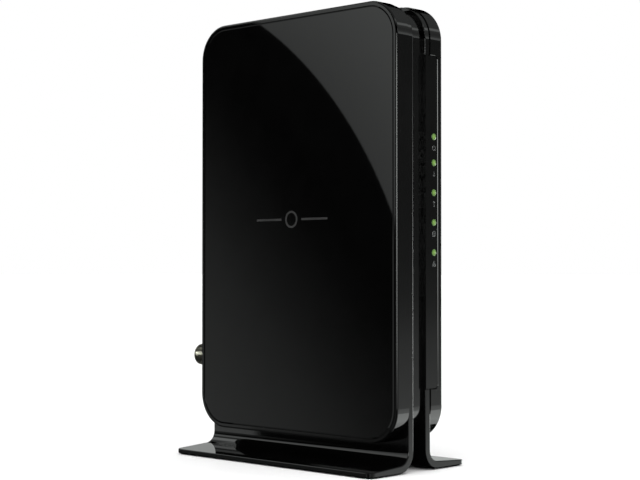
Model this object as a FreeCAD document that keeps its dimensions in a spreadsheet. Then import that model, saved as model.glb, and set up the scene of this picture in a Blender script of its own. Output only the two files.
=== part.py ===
import FreeCAD, Part
import math
import os
import re

import Sketcher
from FreeCAD import Placement, Rotation, Vector

# A desktop cable modem: a slim upright case between two leg plates that bend outward into feet.
# X runs across the case, Y from the front (-Y) to the connectors (+Y), Z upward from the table.
# The origin is under the middle of the whole object, on the table.

SIZES = {
    # Case
    "body_height": 178.5,
    "body_depth": 116.0,
    "body_width": 28.4,
    "body_lift": 11.5,
    "corner_radius": 14.7,
    "wall": 2.0,
    "rim_width": 1.8,
    "rim_round": 0.8,
    "panel_recess": 1.5,
    "panel_thickness": 1.4,
    "panel_gap": 0.15,
    "panel_bevel": 0.5,
    "panel_bevel_drop": 0.13,
    "web": 1.4,
    "edge_round": 0.35,
    # Leg plates and feet
    "leg_gap": 7.6,
    "leg_thickness": 3.0,
    "leg_inset": 0.4,
    "leg_rail": 7.0,
    "bend_radius": 5.0,
    "foot_span": 59.2,
    "foot_tip": 1.9,
    "foot_corner": 3.0,
    "pad_reveal": 0.5,
    "pad_thickness": 1.0,
    "pad_width": 8.0,
    "pad_length": 9.0,
    "pad_margin": 1.4,
    # Centre band
    "groove_depth": 2.0,
    "band_wall": 3.5,
    "vent_width": 4.4,
    "vent_length": 2.0,
    "vent_pitch": 4.6,
    "vent_count": 15,
    # Status strip
    "strip_low": 21.5,
    "strip_high": 157.2,
    "strip_right": 11.15,
    "strip_thickness": 1.2,
    "strip_round": 1.5,
    "strip_gap": 0.12,
    "strip_inset": 0.1,
    "strip_bevel": 0.25,
    "light_right": 9.0,
    "light_radius": 1.35,
    "light_low": 76.9,
    "light_pitch": 12.2,
    "power_light_gap": 10.6,
    # Rear panel
    "port_reach": 16.0,
    "rear_recess": 1.2,
    "rear_low": 19.5,
    "rear_high": 144.5,
    "rear_half": 9.4,
    "rear_lip": 1.3,
    "rear_lip_thickness": 1.5,
    "fit_gap": 0.1,
    "coax_height": 30.6,
    "power_inlet_height": 60.0,
    "reset_height": 82.0,
    "ethernet_height": 104.0,
    "power_button_height": 134.0,
    # Circuit board
    "board_back": 6.6,
    "board_thickness": 1.6,
    "board_low": 20.0,
    "board_high": 144.0,
    "board_front_margin": 8.5,
    "board_rear_margin": 8.0,
    "led_height": 0.8,
    "board_screw_radius": 1.1,
    "standoff_radius": 2.8,
    # Case screws
    "boss_margin": 12.0,
    "boss_radius": 3.2,
    "case_screw_radius": 1.25,
    "case_head_radius": 2.4,
    "case_head_height": 1.5,
    # Coaxial connector, 3/8-32 thread
    "coax_radius": 4.75,
    "coax_pitch_radius": 4.5,
    "coax_runout": 0.4,
    "coax_bore": 3.3,
    "coax_block": 12.0,
    "hex_flats": 11.0,
    "hex_height": 2.4,
    "washer_height": 0.6,
    # Power inlet for a 5.5 / 2.1 mm plug
    "inlet_bore": 3.15,
    "inlet_pin": 1.05,
    "inlet_collar": 4.3,
    "inlet_depth": 10.0,
    "inlet_width": 9.0,
    # Eight-contact network jack
    "jack_width": 16.0,
    "jack_height": 13.4,
    "jack_depth": 21.0,
    "jack_skin": 0.25,
    "socket_width": 11.8,
    "socket_depth": 13.0,
    # Power button
    "button_radius": 4.5,
    "button_reveal": 1.8,
    "button_clearance": 0.3,
    "switch_size": 9.0,
    # Heat sink
    "sink_size": 42.0,
    "sink_base": 2.0,
    "sink_fins": 9.0,
    "fin_thickness": 1.3,
    "fin_count": 10,
}

# Reference places, written as expressions in the sheet's aliases.
FRONT = "(0 - (body_depth + port_reach) / 2)"
REAR = "((body_depth - port_reach) / 2)"
BASE = "body_lift"
TOP = "(body_lift + body_height)"
HALF = "(body_width / 2)"
LEG_IN = "(leg_gap / 2)"
LEG_OUT = "(leg_gap / 2 + leg_thickness)"
WEB_IN = "(body_width / 2 - panel_recess - web)"
WEB_OUT = "(body_width / 2 - panel_recess)"
REAR_FACE = f"({REAR} - rear_recess)"
REAR_INSIDE = f"({REAR} - wall - rear_lip_thickness)"
BOARD_FACE = "(board_thickness - board_back)"
BOARD_FRONT = f"({FRONT} + board_front_margin)"
BOARD_REAR = f"({REAR} - board_rear_margin)"
INLET_X = f"({BOARD_FACE} + 6.5)"
RESET_X = f"({BOARD_FACE} + 3)"
BUTTON_X = f"({BOARD_FACE} + switch_size / 2)"
SINK_Y = f"({FRONT} + 48)"
SINK_Z = "80"

BOARD_SCREWS = (
    (f"{BOARD_FRONT} + 5", f"{BASE} + board_low + 5"),
    (f"{BOARD_FRONT} + 5", f"{BASE} + board_high - 5"),
    (f"{BOARD_REAR} - 7", f"{BASE} + board_low + 24"),
    (f"{BOARD_REAR} - 27", f"{BASE} + board_high - 5"),
)

WORD = re.compile(r"[a-z][a-z_]*")

doc = FreeCAD.newDocument("cable_modem")


# ---------------------------------------------------------------- sheet and expressions

def make_sheet():
    """Put every driving dimension in a sheet cell with its own alias."""
    sheet = doc.addObject("Spreadsheet::Sheet", "Sizes")
    for row, (name, value) in enumerate(SIZES.items(), 1):
        sheet.set(f"A{row}", name)
        sheet.set(f"B{row}", str(value))
        sheet.setAlias(f"B{row}", name)
    doc.recompute()


def bound(text):
    """An expression that follows the sheet's cells."""
    return WORD.sub(lambda found: "Sizes." + found.group(), str(text))


def number(text):
    """The present value of an expression, in millimetres."""
    plain = WORD.sub(lambda found: str(SIZES[found.group()]), str(text))
    return FreeCAD.Units.Quantity(plain).Value


# ---------------------------------------------------------------- sketched bodies

def new_body(name):
    body = doc.addObject("PartDesign::Body", name)
    body.Label = name
    return body


def fix(sketch, kind, places, text):
    """Add a dimension to a sketch and bind it to the sheet."""
    name = f"size{sketch.ConstraintCount}"
    index = sketch.addConstraint(Sketcher.Constraint(kind, *places, number(text)))
    sketch.renameConstraint(index, name)
    sketch.setExpression("Constraints." + name, bound(text))


def rectangle(low, size, radius=None):
    """An upright rectangle from its low corner, with one radius at its four corners if given."""
    def draw(sketch):
        left, bottom = number(low[0]), number(low[1])
        right, top = left + number(size[0]), bottom + number(size[1])
        bend = number(radius) if radius else 0.0
        first = sketch.GeometryCount
        corners = ((right, bottom), (right, top), (left, top), (left, bottom))
        inward = ((-1, 1), (-1, -1), (1, -1), (1, 1))
        along = ((1, 0), (0, 1), (-1, 0), (0, -1))
        step = 2 if radius else 1
        for turn in range(4):
            ahead = Vector(*corners[turn], 0) - Vector(*along[turn], 0) * bend
            behind = Vector(*corners[turn - 1], 0) + Vector(*along[turn], 0) * bend
            sketch.addGeometry(Part.LineSegment(behind, ahead), False)
            if radius:
                centre = Vector(*corners[turn], 0) + Vector(*inward[turn], 0) * bend
                circle_of = Part.Circle(centre, Vector(0, 0, 1), bend)
                start = (turn - 1) * math.pi / 2
                sketch.addGeometry(Part.ArcOfCircle(circle_of, start, start + math.pi / 2), False)
        sides = [first + step * turn for turn in range(4)]
        for turn, side in enumerate(sides):
            kind = "Vertical" if turn % 2 else "Horizontal"
            sketch.addConstraint(Sketcher.Constraint(kind, side))
            following = sides[(turn + 1) % 4]
            if radius:
                sketch.addConstraint(Sketcher.Constraint("Tangent", side, 2, side + 1, 1))
                sketch.addConstraint(Sketcher.Constraint("Tangent", side + 1, 2, following, 1))
            else:
                sketch.addConstraint(Sketcher.Constraint("Coincident", side, 2, following, 1))
        if radius:
            for turn in range(1, 4):
                sketch.addConstraint(Sketcher.Constraint("Equal", first + 1, first + 1 + 2 * turn))
            fix(sketch, "Radius", (first + 1,), radius)
        fix(sketch, "DistanceX", (-1, 1, sides[3], 1), low[0])
        fix(sketch, "DistanceY", (-1, 1, sides[0], 1), low[1])
        fix(sketch, "DistanceX", (sides[3], 1, sides[1], 1), size[0])
        fix(sketch, "DistanceY", (sides[0], 1, sides[2], 1), size[1])
    return draw


def circle(centre, radius):
    def draw(sketch):
        middle = Vector(number(centre[0]), number(centre[1]), 0)
        index = sketch.addGeometry(Part.Circle(middle, Vector(0, 0, 1), number(radius)), False)
        fix(sketch, "Radius", (index,), radius)
        fix(sketch, "DistanceX", (-1, 1, index, 3), centre[0])
        fix(sketch, "DistanceY", (-1, 1, index, 3), centre[1])
    return draw


def extrude(body, kind, axis, low, high, *outlines):
    """Pad or pocket outlines between two places on an axis.

    Outlines drawn across X use (Y, Z), across Y (X, Z) and across Z (X, Y).
    """
    role, place = {
        "X": ("YZ_Plane", low),
        "Y": ("XZ_Plane", f"0 - ({high})"),
        "Z": ("XY_Plane", low),
    }[axis]
    plane = next(item for item in body.Origin.OriginFeatures if item.Role == role)
    sketch = body.newObject("Sketcher::SketchObject", f"{body.Name}_outline")
    sketch.AttachmentSupport = [(plane, "")]
    sketch.MapMode = "FlatFace"
    sketch.setExpression("AttachmentOffset.Base.z", bound(place))
    for draw in outlines:
        draw(sketch)
    before = body.Shape.Volume if body.Tip else 0.0
    feature = body.newObject(f"PartDesign::{kind}", f"{body.Name}_{kind.lower()}")
    feature.Profile = sketch
    feature.setExpression("Length", bound(f"({high}) - ({low})"))
    feature.Reversed = kind == "Pocket"
    doc.recompute()
    if abs(body.Shape.Volume - before) < 0.001:
        raise ValueError(f"{feature.Name} changes nothing")
    return feature


def pick_edges(shape, test):
    """Names of a shape's edges that pass a test."""
    return [f"Edge{place}" for place, edge in enumerate(shape.Edges, 1) if test(edge)]


def edges_at(axis, *texts):
    """A test for edges that lie in a plane across an axis, at any of the given places."""
    low, high = axis + "Min", axis + "Max"

    def test(edge):
        box = edge.BoundBox
        return any(
            abs(getattr(box, low) - number(text)) < 0.01 and abs(getattr(box, high) - number(text)) < 0.01
            for text in texts
        )
    return test


def edges_right_of(text):
    """A test for edges that reach past a place along X."""
    return lambda edge: edge.BoundBox.XMax > number(text) + 0.01


def edges_along(axis):
    """A test for straight edges parallel to an axis."""
    def test(edge):
        box = edge.BoundBox
        lengths = {"X": box.XLength, "Y": box.YLength, "Z": box.ZLength}
        return all((length > 0.1) == (name == axis) for name, length in lengths.items())
    return test


def soften(body, kind, size, *tests):
    """Fillet or chamfer the edges of the body so far that pass every test."""
    base = body.Tip
    names = pick_edges(base.Shape, lambda edge: all(test(edge) for test in tests))
    feature = body.newObject(f"PartDesign::{kind}", f"{body.Name}_{kind.lower()}")
    feature.Base = (base, names)
    feature.setExpression("Radius" if kind == "Fillet" else "Size", bound(size))
    doc.recompute()
    return feature


def repeat(body, feature, direction, length, count):
    """Copy a feature along one of its sketch's axes."""
    pattern = body.newObject("PartDesign::LinearPattern", f"{body.Name}_pattern")
    pattern.Originals = [feature]
    pattern.Direction = (feature.Profile[0], [direction])
    pattern.setExpression("Length", bound(length))
    pattern.setExpression("Occurrences", bound(count))
    body.Tip = pattern
    doc.recompute()
    return pattern


def layer(side, inner, outer):
    """Low and high X of a layer between two distances from the middle plane, on one side."""
    if side > 0:
        return inner, outer
    return f"0 - ({outer})", f"0 - ({inner})"


# ---------------------------------------------------------------- plain solids

TURNS = {
    "X": Rotation(Vector(0, 1, 0), 90),
    "Y": Rotation(Vector(1, 0, 0), -90),
    "Z": Rotation(),
}


def place(solid, where, turn=Rotation()):
    solid.Placement = Placement(Vector(), turn)
    for axis, text in zip("xyz", where):
        solid.setExpression("Placement.Base." + axis, bound(text))
    return solid


def block(name, low, size):
    """A rectangular block from its low corner."""
    solid = doc.addObject("Part::Box", name)
    for side, text in zip(("Length", "Width", "Height"), size):
        solid.setExpression(side, bound(text))
    return place(solid, low)


def rod(name, axis, start, length, radius):
    """A cylinder from the middle of its first end, along +X, +Y or +Z."""
    solid = doc.addObject("Part::Cylinder", name)
    solid.setExpression("Radius", bound(radius))
    solid.setExpression("Height", bound(length))
    return place(solid, start, TURNS[axis])


def ball(name, centre, radius):
    solid = doc.addObject("Part::Sphere", name)
    solid.setExpression("Radius", bound(radius))
    return place(solid, centre)


def combined(kind, name, *pieces):
    """A boolean of plain solids: Cut takes two, MultiFuse any number, Compound keeps them apart."""
    solid = doc.addObject(f"Part::{kind}", name)
    if kind == "Cut":
        solid.Base, solid.Tool = pieces
    elif kind == "MultiFuse":
        solid.Shapes = list(pieces)
        solid.Refine = True
    else:
        solid.Links = list(pieces)
    return solid


def chip(name, centre, size, base=BOARD_FACE):
    """A block standing on the board: centre and size along Y and Z, then its height along X."""
    middle, height = centre
    depth, tall, thick = size
    low = (base, f"{middle} - ({depth}) / 2", f"{BASE} + {height} - ({tall}) / 2")
    return block(name, low, (thick, depth, tall))


# ---------------------------------------------------------------- case

def light_heights():
    """Heights of the five status lights, lowest first: four at one pitch, the power light closer."""
    heights = [f"{BASE} + light_low + light_pitch * {step}" for step in range(4)]
    return heights + [f"{BASE} + light_low + light_pitch * 3 + power_light_gap"]


def boss_places():
    ends = (f"{FRONT} + boss_margin", f"{REAR} - boss_margin")
    levels = (f"{BASE} + boss_margin", f"{TOP} - boss_margin")
    return [(end, level) for end in ends for level in levels]


def side_shell(name, side):
    """A shallow tray: rim round the side panel, thin web behind it, walls inward to the leg plate."""
    body = new_body(name)
    case = rectangle((FRONT, BASE), ("body_depth", "body_height"), "corner_radius")
    extrude(body, "Pad", "X", *layer(side, LEG_OUT, HALF), case)
    soften(body, "Fillet", "rim_round", edges_at("X", f"{side} * {HALF}"))
    recess = rectangle(
        (f"{FRONT} + rim_width", f"{BASE} + rim_width"),
        ("body_depth - 2 * rim_width", "body_height - 2 * rim_width"),
        "corner_radius - rim_width",
    )
    extrude(body, "Pocket", "X", *layer(side, WEB_OUT, HALF), recess)
    hollow = rectangle(
        (f"{FRONT} + wall", f"{BASE} + wall"),
        ("body_depth - 2 * wall", "body_height - 2 * wall"),
        "corner_radius - wall",
    )
    extrude(body, "Pocket", "X", *layer(side, LEG_OUT, WEB_IN), hollow)
    bosses = [circle(spot, "boss_radius") for spot in boss_places()]
    extrude(body, "Pad", "X", *layer(side, "0", WEB_IN), *bosses)
    panel_cut = rectangle(
        (f"{REAR} - wall - 0.5", f"{BASE} + rear_low"),
        ("wall + 1.5", "rear_high - rear_low"),
    )
    extrude(body, "Pocket", "X", *layer(side, LEG_OUT, "rear_half"), panel_cut)
    return body


def left_shell():
    """Carries the board on standoffs; its four hollow bosses take the case screws."""
    body = side_shell("left_shell", -1)
    standoffs = [circle(spot, "standoff_radius") for spot in BOARD_SCREWS]
    extrude(body, "Pad", "X", *layer(-1, "board_back", WEB_IN), *standoffs)
    pilots = [circle(spot, "board_screw_radius") for spot in BOARD_SCREWS]
    extrude(body, "Pocket", "X", *layer(-1, "board_back", f"{WEB_IN} - 0.4"), *pilots)
    clear = [circle(spot, "case_screw_radius + 0.15") for spot in boss_places()]
    extrude(body, "Pocket", "X", *layer(-1, "0", WEB_OUT), *clear)
    seats = [circle(spot, "case_head_radius + 0.2") for spot in boss_places()]
    extrude(body, "Pocket", "X", *layer(-1, f"{WEB_OUT} - case_head_height - 0.1", WEB_OUT), *seats)
    return body


def right_shell():
    """Holds the status strip in a rebate of its front wall; its bosses take the screw threads."""
    body = side_shell("right_shell", 1)
    pilots = [circle(spot, "case_screw_radius") for spot in boss_places()]
    extrude(body, "Pocket", "X", "0", "7.5", *pilots)
    rebate = rectangle(
        (f"{LEG_OUT} - 4", f"{BASE} + strip_low - strip_gap"),
        (f"strip_right + strip_gap - {LEG_OUT} + 4", "strip_high - strip_low + 2 * strip_gap"),
        "strip_round + strip_gap",
    )
    extrude(body, "Pocket", "Y", FRONT, f"{FRONT} + strip_thickness", rebate)
    soften(body, "Chamfer", "0.15", edges_at("Y", FRONT), edges_at("X", "strip_right + strip_gap"))
    holes = [circle(("light_right", height), "light_radius + 0.1") for height in light_heights()]
    extrude(body, "Pocket", "Y", FRONT, f"{FRONT} + wall + 0.5", *holes)
    return body


def side_panel(name, side):
    """Flat glossy plate that fills the shell's recess, with a fine gap all round."""
    body = new_body(name)
    edge = "(rim_width + panel_gap)"
    plate = rectangle(
        (f"{FRONT} + {edge}", f"{BASE} + {edge}"),
        (f"body_depth - 2 * {edge}", f"body_height - 2 * {edge}"),
        f"corner_radius - {edge}",
    )
    extrude(body, "Pad", "X", *layer(side, WEB_OUT, f"{WEB_OUT} + panel_thickness"), plate)
    outer_face = f"{side} * ({WEB_OUT} + panel_thickness)"
    bevel = soften(body, "Chamfer", "panel_bevel_drop", edges_at("X", outer_face))
    bevel.ChamferType = "Two distances"
    bevel.setExpression("Size2", bound("panel_bevel"))
    return body


def leg_outline(side):
    """Upright plate, bend and tapered foot, drawn across Y as one closed outline."""
    def draw(sketch):
        inner, outer = side * number(LEG_IN), side * number(LEG_OUT)
        tip = side * number("foot_span / 2")
        small = number("bend_radius")
        large = small + number("leg_thickness")
        floor = number("pad_reveal")
        roof = number(f"{TOP} - leg_inset")
        turn = Vector(inner + side * large, floor + large, 0)
        start = math.pi if side > 0 else 1.5 * math.pi
        near, far = (1, 2) if side > 0 else (2, 1)
        points = {
            "roof_in": Vector(inner, roof, 0),
            "bend_in": Vector(inner, turn.y, 0),
            "floor_in": Vector(turn.x, floor, 0),
            "floor_tip": Vector(tip, floor, 0),
            "top_tip": Vector(tip, floor + number("foot_tip"), 0),
            "top_in": Vector(turn.x, turn.y - small, 0),
            "bend_out": Vector(outer, turn.y, 0),
            "roof_out": Vector(outer, roof, 0),
        }

        def line(begin, end):
            sketch.addGeometry(Part.LineSegment(points[begin], points[end]), False)

        def arc(radius):
            ring = Part.Circle(turn, Vector(0, 0, 1), radius)
            sketch.addGeometry(Part.ArcOfCircle(ring, start, start + math.pi / 2), False)

        line("roof_in", "bend_in")
        arc(large)
        line("floor_in", "floor_tip")
        line("floor_tip", "top_tip")
        line("top_tip", "top_in")
        arc(small)
        line("bend_out", "roof_out")
        line("roof_out", "roof_in")
        rules = (
            ("Vertical", 0), ("Horizontal", 2), ("Vertical", 3), ("Vertical", 6), ("Horizontal", 7),
            ("Tangent", 0, 2, 1, near), ("Tangent", 1, far, 2, 1),
            ("Coincident", 2, 2, 3, 1), ("Coincident", 3, 2, 4, 1),
            ("Tangent", 4, 2, 5, far), ("Tangent", 5, near, 6, 1),
            ("Coincident", 6, 2, 7, 1), ("Coincident", 7, 2, 0, 1),
            ("Coincident", 1, 3, 5, 3),
        )
        for rule in rules:
            sketch.addConstraint(Sketcher.Constraint(*rule))
        fix(sketch, "Radius", (1,), "bend_radius + leg_thickness")
        fix(sketch, "Radius", (5,), "bend_radius")
        fix(sketch, "DistanceX", (-1, 1, 0, 1), f"{side} * {LEG_IN}")
        fix(sketch, "DistanceX", (-1, 1, 3, 1), f"{side} * foot_span / 2")
        fix(sketch, "DistanceY", (-1, 1, 2, 1), "pad_reveal")
        fix(sketch, "DistanceY", (3, 1, 3, 2), "foot_tip")
        fix(sketch, "DistanceY", (-1, 1, 7, 1), f"{TOP} - leg_inset")
    return draw


def pad_corner(side, end):
    """Low corner, along X and Y, of one rubber pad: side is -1 or 1, end is -1 (front) or 1 (rear)."""
    outer = "foot_span / 2 - pad_margin"
    across = f"{outer} - pad_width" if side > 0 else f"0 - ({outer})"
    if end < 0:
        return across, f"{FRONT} + leg_inset + pad_margin"
    return across, f"{REAR} - leg_inset - pad_margin - pad_length"


def leg_frame(name, side):
    """Plate with a large window round the electronics, open at the rear panel, on a bent foot."""
    body = new_body(name)
    front, rear = f"{FRONT} + leg_inset", f"{REAR} - leg_inset"
    extrude(body, "Pad", "Y", front, rear, leg_outline(side))
    roof = edges_at("Z", f"{TOP} - leg_inset")
    soften(body, "Fillet", "corner_radius - leg_inset", roof, edges_along("X"))
    tip = edges_at("X", f"{side} * foot_span / 2")
    soften(body, "Fillet", "foot_corner", tip, edges_along("Z"))
    soften(body, "Fillet", "edge_round", edges_at("Y", front, rear))
    rail = "leg_rail"
    window = rectangle(
        (f"{FRONT} + {rail}", f"{BASE} + {rail}"),
        (f"body_depth - 2 * {rail}", f"body_height - 2 * {rail}"),
        f"corner_radius - {rail}",
    )
    extrude(body, "Pocket", "X", *layer(side, LEG_IN, LEG_OUT), window)
    notch = rectangle(
        (f"{REAR} - {rail} - 1", f"{BASE} + rear_low - rear_lip - 0.2"),
        (f"{rail} + 2", "rear_high - rear_low + 2 * rear_lip + 0.4"),
    )
    extrude(body, "Pocket", "X", *layer(side, LEG_IN, LEG_OUT), notch)
    if side > 0:
        rebate = rectangle(
            (f"{LEG_IN} - 1", f"{BASE} + strip_low - strip_gap"),
            ("leg_thickness + 2", "strip_high - strip_low + 2 * strip_gap"),
        )
        extrude(body, "Pocket", "Y", FRONT, f"{FRONT} + strip_thickness", rebate)
    seats = [
        rectangle(pad_corner(side, end), ("pad_width", "pad_length"), "1")
        for end in (-1, 1)
    ]
    extrude(body, "Pocket", "Z", "pad_reveal", "pad_thickness", *seats)
    return body


def center_frame():
    """Narrow band set back between the leg plates, with cooling slots through its top and floor."""
    body = new_body("center_frame")
    inner = "(groove_depth + band_wall)"
    band = rectangle(
        (f"{FRONT} + groove_depth", f"{BASE} + groove_depth"),
        ("body_depth - 2 * groove_depth", "body_height - 2 * groove_depth"),
        "corner_radius - groove_depth",
    )
    extrude(body, "Pad", "X", f"0 - {LEG_IN}", LEG_IN, band)
    hollow = rectangle(
        (f"{FRONT} + {inner}", f"{BASE} + {inner}"),
        (f"body_depth - 2 * {inner}", f"body_height - 2 * {inner}"),
        f"corner_radius - {inner}",
    )
    extrude(body, "Pocket", "X", f"0 - {LEG_IN}", LEG_IN, hollow)
    notch = rectangle(
        (f"{REAR} - {inner} - 1", f"{BASE} + rear_low - rear_lip - 0.2"),
        (f"{inner} + 2", "rear_high - rear_low + 2 * rear_lip + 0.4"),
    )
    extrude(body, "Pocket", "X", f"0 - {LEG_IN}", LEG_IN, notch)
    run = "vent_pitch * (vent_count - 1)"
    first = f"0 - port_reach / 2 - {run} / 2 - vent_length / 2"
    slot = rectangle(("0 - vent_width / 2", first), ("vent_width", "vent_length"), "vent_length / 2 - 0.1")
    vent = extrude(body, "Pocket", "Z", f"{BASE} - 1", f"{TOP} + 1", slot)
    repeat(body, vent, "V_Axis", run, "vent_count")
    return body


def rear_panel():
    """Connector plate in the shells' rear opening, held behind their walls by a lip."""
    body = new_body("rear_panel")
    half = "(rear_half - fit_gap)"
    lip = rectangle(
        (f"0 - {half} - rear_lip", f"{BASE} + rear_low - rear_lip"),
        (f"2 * ({half} + rear_lip)", "rear_high - rear_low + 2 * rear_lip"),
        "1",
    )
    extrude(body, "Pad", "Y", REAR_INSIDE, f"{REAR} - wall", lip)
    face = rectangle(
        (f"0 - {half}", f"{BASE} + rear_low + fit_gap"),
        (f"2 * {half}", "rear_high - rear_low - 2 * fit_gap"),
    )
    extrude(body, "Pad", "Y", f"{REAR} - wall", REAR_FACE, face)
    soften(body, "Chamfer", "0.2", edges_at("Y", REAR_FACE))
    ports = [
        circle(("0", f"{BASE} + coax_height"), "coax_radius + 0.1"),
        circle((INLET_X, f"{BASE} + power_inlet_height"), "inlet_collar + 0.1"),
        circle((RESET_X, f"{BASE} + reset_height"), "1"),
        circle((BUTTON_X, f"{BASE} + power_button_height"), "button_radius + button_clearance"),
        rectangle(
            (f"{BOARD_FACE} - 0.1", f"{BASE} + ethernet_height - jack_width / 2 - 0.1"),
            ("jack_height + 0.2", "jack_width + 0.2"),
        ),
    ]
    extrude(body, "Pocket", "Y", REAR_INSIDE, REAR_FACE, *ports)
    return body


def status_window():
    """Glossy strip over the right leg plate and shell, pierced for the five lights."""
    body = new_body("status_window")
    strip = rectangle(
        (LEG_IN, f"{BASE} + strip_low"),
        (f"strip_right - {LEG_IN}", "strip_high - strip_low"),
    )
    face = f"({FRONT} + strip_inset)"
    extrude(body, "Pad", "Y", face, f"{FRONT} + strip_thickness", strip)
    soften(body, "Fillet", "strip_round", edges_along("Y"), edges_at("X", "strip_right"))
    soften(body, "Chamfer", "strip_bevel", edges_at("Y", face), edges_right_of(LEG_IN))
    holes = [circle(("light_right", height), "light_radius + 0.02") for height in light_heights()]
    extrude(body, "Pocket", "Y", face, f"{FRONT} + strip_thickness", *holes)
    return body


def status_light_pipes():
    """Clear pipes from the strip back past the leg plate, then across to the lights on the board."""
    pipes = []
    face = f"({FRONT} + strip_inset)"
    bend = f"({FRONT} + 10.5)"
    led_top = f"({BOARD_FACE} + led_height)"
    for count, height in enumerate(light_heights(), 1):
        start = ("light_right", face, height)
        ahead = rod(f"pipe_front_{count}", "Y", start, f"{bend} - {face}", "light_radius")
        start = (led_top, bend, height)
        across = rod(f"pipe_cross_{count}", "X", start, f"light_right - {led_top}", "light_radius")
        corner = ball(f"pipe_corner_{count}", ("light_right", bend, height), "light_radius")
        pipes.append(combined("MultiFuse", f"light_pipe_{count}", ahead, across, corner))
    return combined("Compound", "status_light_pipes", *pipes)


def foot_pads():
    """Four rubber pads, half sunk in the undersides of the feet."""
    pads = []
    for side in (-1, 1):
        for end in (-1, 1):
            body_name = f"pad_{'left' if side < 0 else 'right'}_{'front' if end < 0 else 'rear'}"
            body = new_body(body_name)
            outline = rectangle(pad_corner(side, end), ("pad_width", "pad_length"), "1")
            extrude(body, "Pad", "Z", "0", "pad_thickness", outline)
            soften(body, "Chamfer", "0.2", edges_at("Z", "0"))
            pads.append(body)
    return combined("Compound", "foot_pads", *pads)


def case_screws():
    """Four screws under the left side panel, through its bosses into the right shell's."""
    screws = []
    seat = f"0 - {WEB_OUT} + 0.1"
    for count, (along, height) in enumerate(boss_places(), 1):
        head = rod(f"case_head_{count}", "X", (seat, along, height), "case_head_height", "case_head_radius")
        under = f"{seat} + case_head_height"
        start = (under, along, height)
        shank = rod(f"case_shank_{count}", "X", start, f"7 - ({under})", "case_screw_radius")
        screws.append(combined("MultiFuse", f"case_screw_{count}", head, shank))
    return combined("Compound", "case_screws", *screws)


# ---------------------------------------------------------------- connectors and controls

def coax_parts():
    """Threaded coaxial connector: board block and barrel, washer, nut, insulator and contact."""
    height = f"{BASE} + coax_height"
    end = f"({REAR} + port_reach)"
    inner_end = f"({REAR_INSIDE} - coax_block)"
    nut_end = f"({REAR_FACE} + washer_height + hex_height)"
    body = new_body("coax_body")
    base = rectangle(
        (BOARD_FACE, f"{height} - coax_block / 2"),
        (f"5 - ({BOARD_FACE})", "coax_block"),
        "0.6",
    )
    extrude(body, "Pad", "Y", inner_end, REAR_INSIDE, base)
    # The thread held by the nut is drawn at its pitch radius, the exposed thread at its major radius.
    thread_start = f"({nut_end} + coax_runout)"
    extrude(body, "Pad", "Y", REAR_INSIDE, thread_start, circle(("0", height), "coax_pitch_radius"))
    extrude(body, "Pad", "Y", thread_start, end, circle(("0", height), "coax_radius"))
    soften(body, "Chamfer", "0.5", edges_at("Y", end))
    bore_start = f"({inner_end} + 1.5)"
    extrude(body, "Pocket", "Y", bore_start, end, circle(("0", height), "coax_bore"))

    insulator = new_body("coax_insulator")
    lip = f"({end} - 1)"
    throat = f"({end} - 2)"
    extrude(insulator, "Pad", "Y", bore_start, lip, circle(("0", height), "coax_bore"))
    extrude(insulator, "Pocket", "Y", bore_start, throat, circle(("0", height), "0.95"))
    extrude(insulator, "Pocket", "Y", throat, lip, circle(("0", height), "0.6"))

    contact = new_body("coax_center_contact")
    extrude(contact, "Pad", "Y", bore_start, throat, circle(("0", height), "0.95"))
    extrude(contact, "Pocket", "Y", f"{throat} - 8", throat, circle(("0", height), "0.5"))

    start = ("0", REAR_FACE, height)
    disc = rod("washer_disc", "Y", start, "washer_height", "hex_flats / 2 + 0.6")
    eye = rod("washer_eye", "Y", start, "washer_height", "coax_radius + 0.05")
    washer = combined("Cut", "coax_lock_washer", disc, eye)

    seat = ("0", f"{REAR_FACE} + washer_height", height)
    prism = doc.addObject("Part::Prism", "nut_prism")
    prism.Polygon = 6
    prism.setExpression("Circumradius", bound(f"hex_flats / 2 / {math.cos(math.pi / 6):.5f}"))
    prism.setExpression("Height", bound("hex_height"))
    place(prism, seat, TURNS["Y"])
    thread = rod("nut_thread", "Y", seat, "hex_height", "coax_pitch_radius + 0.01")
    nut = combined("Cut", "coax_hex_nut", prism, thread)
    return [body, insulator, contact, washer, nut]


def power_inlet_parts():
    """Barrel power inlet: housing with a round collar, centre pin and side contact."""
    height = f"{BASE} + power_inlet_height"
    floor = f"({REAR_FACE} - inlet_depth)"
    housing = new_body("power_inlet_housing")
    base = rectangle((BOARD_FACE, f"{height} - inlet_width / 2"), ("11", "inlet_width"), "0.4")
    extrude(housing, "Pad", "Y", f"{floor} - 4", REAR_INSIDE, base)
    extrude(housing, "Pad", "Y", REAR_INSIDE, REAR_FACE, circle((INLET_X, height), "inlet_collar"))
    extrude(housing, "Pocket", "Y", floor, REAR_FACE, circle((INLET_X, height), "inlet_bore"))
    slot_low = f"({INLET_X} - inlet_bore - 0.8)"
    slot = rectangle((slot_low, f"{height} - 1.3"), ("1.2", "2.6"))
    extrude(housing, "Pocket", "Y", floor, f"{REAR_INSIDE} - 0.5", slot)

    pin = rod("pin_rod", "Y", (INLET_X, floor, height), "inlet_depth - 1", "inlet_pin")
    pin_tip = ball("pin_tip", (INLET_X, f"{REAR_FACE} - 1", height), "inlet_pin")
    center_pin = combined("MultiFuse", "power_inlet_pin", pin, pin_tip)
    spring = block("power_inlet_contact", (slot_low, floor, f"{height} - 1.1"), ("0.4", "7", "2.2"))
    return [housing, center_pin, spring]


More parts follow.
